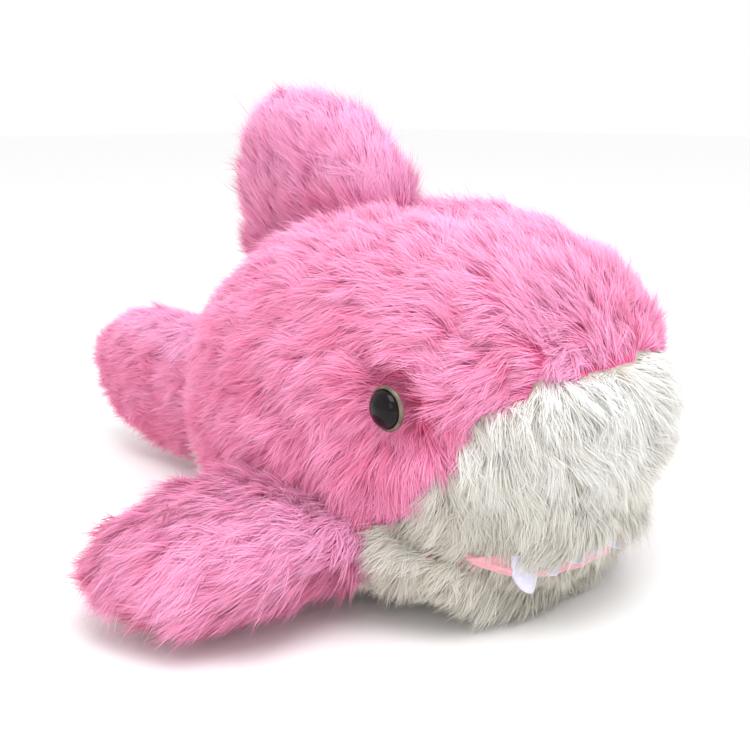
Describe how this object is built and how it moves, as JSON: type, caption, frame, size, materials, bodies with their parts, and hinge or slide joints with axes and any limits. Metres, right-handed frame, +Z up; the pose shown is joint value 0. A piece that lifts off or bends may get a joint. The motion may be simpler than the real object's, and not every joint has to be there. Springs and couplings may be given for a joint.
{
  "type": "plush shark",
  "caption": "Stuffed long-pile shark lying on its belly, with a large rounded head, a dorsal fin, two pectoral fins and a tail fin sewn on at soft roots, an open mouth with felt teeth, and domed eyes.",
  "frame": {"origin": "on the floor, under the middle of the whole toy's box", "axes": "+X towards the nose, +Y towards the shark's left, +Z up"},
  "size_m": [0.3565, 0.2816, 0.1869],
  "materials": {
    "pink_pile": "long soft pile",
    "white_pile": "long soft pile",
    "pink_lining": "short brushed cloth",
    "white_felt": "felt",
    "stuffing": "loose polyester fibre",
    "eye_black": "polished",
    "eye_ring": "polished",
    "washer_plastic": "satin"
  },
  "bodies": {
    "root": {"back_left": "pink_pile", "back_right": "pink_pile", "belly_and_chin": "white_pile", "muzzle": "white_pile", "palate_lining": "pink_lining", "chin_lining": "pink_lining", "felt_teeth": "white_felt", "body_filling": "stuffing", "chin_filling": "stuffing", "eye_left": "eye_black", "eye_right": "eye_black", "eye_ring_left": "eye_ring", "eye_ring_right": "eye_ring", "eye_washer_left": "washer_plastic", "eye_washer_right": "washer_plastic"},
    "pectoral_left": {"pectoral_left_top": "pink_pile", "pectoral_left_underside": "pink_pile", "pectoral_left_filling": "stuffing"},
    "pectoral_right": {"pectoral_right_top": "pink_pile", "pectoral_right_underside": "pink_pile", "pectoral_right_filling": "stuffing"},
    "dorsal_fin": {"dorsal_side_left": "pink_pile", "dorsal_side_right": "pink_pile", "dorsal_filling": "stuffing"},
    "tail_fin": {"tail_side_left": "pink_pile", "tail_side_right": "pink_pile", "tail_filling": "stuffing"}
  },
  "joints": [
    {"name": "pectoral_left_flap", "type": "hinge", "parent": "root", "child": "pectoral_left", "pos_m": [0.0704, 0.0764, 0.036], "axis": [1, 0, 0], "range_deg": [-20, 15], "stiffness_Nm_per_rad": 0.12},
    {"name": "pectoral_right_flap", "type": "hinge", "parent": "root", "child": "pectoral_right", "pos_m": [0.0704, -0.0764, 0.036], "axis": [-1, 0, 0], "range_deg": [-20, 15], "stiffness_Nm_per_rad": 0.12},
    {"name": "dorsal_sway", "type": "hinge", "parent": "root", "child": "dorsal_fin", "pos_m": [0.0114, 0, 0.1335], "axis": [0.9055, 0, 0.4244], "range_deg": [-18, 18], "stiffness_Nm_per_rad": 0.12},
    {"name": "tail_sway", "type": "hinge", "parent": "root", "child": "tail_fin", "pos_m": [-0.0635, 0, 0.042], "axis": [0, 0, 1], "range_deg": [-22, 22], "stiffness_Nm_per_rad": 0.12}
  ]
}
